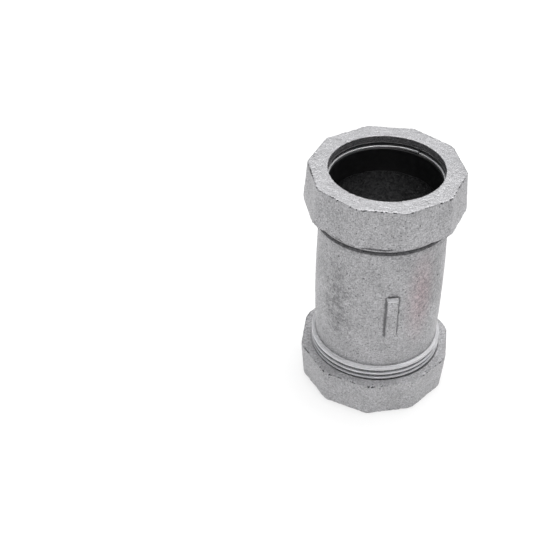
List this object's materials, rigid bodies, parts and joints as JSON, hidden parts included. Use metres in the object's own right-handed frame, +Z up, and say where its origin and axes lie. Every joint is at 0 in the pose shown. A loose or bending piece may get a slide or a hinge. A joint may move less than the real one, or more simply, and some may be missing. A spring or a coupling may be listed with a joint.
{
  "type": "pipe union",
  "caption": "Long galvanised cast coupling with a compression nut, steel ring and rubber gasket at each end, joining plain pipe ends.",
  "frame": {"origin": "centre of the lower end face, on the surface the coupling stands on", "axes": "+Z up along the pipe axis, the front lug faces close to -Y"},
  "size_m": [0.0882, 0.0882, 0.142],
  "materials": {
    "galvanised_iron": "hot-dip galvanised",
    "steel_ring": "zinc plated",
    "gasket_rubber": "matte"
  },
  "bodies": {
    "root": {"body": "galvanised_iron", "upper_gasket": "gasket_rubber", "lower_gasket": "gasket_rubber"},
    "upper_ring": {"upper_retainer_ring": "steel_ring"},
    "upper_nut": {"upper_nut": "galvanised_iron"},
    "lower_ring": {"lower_retainer_ring": "steel_ring"},
    "lower_nut": {"lower_nut": "galvanised_iron"}
  },
  "joints": [
    {"name": "upper_nut_travel", "type": "slide", "parent": "root", "child": "upper_ring", "axis": [0, 0, 1], "range_m": [-0.00168, 0.0135], "deforming": ["upper_gasket"]},
    {"name": "upper_nut_turn", "type": "hinge", "parent": "upper_ring", "child": "upper_nut", "pos_m": [0, 0, 0.142], "axis": [0, 0, 1], "range_deg": [-190, 1530]},
    {"name": "lower_nut_travel", "type": "slide", "parent": "root", "child": "lower_ring", "axis": [0, 0, -1], "range_m": [-0.00128, 0.0157], "deforming": ["lower_gasket"]},
    {"name": "lower_nut_turn", "type": "hinge", "parent": "lower_ring", "child": "lower_nut", "pos_m": [0, 0, 0], "axis": [0, 0, -1], "range_deg": [-145, 1780]}
  ],
  "couplings": [
    {"joint": "upper_nut_travel", "follows": "upper_nut_turn", "m_per_rad": 0.00050532},
    {"joint": "lower_nut_travel", "follows": "lower_nut_turn", "m_per_rad": 0.00050532}
  ]
}
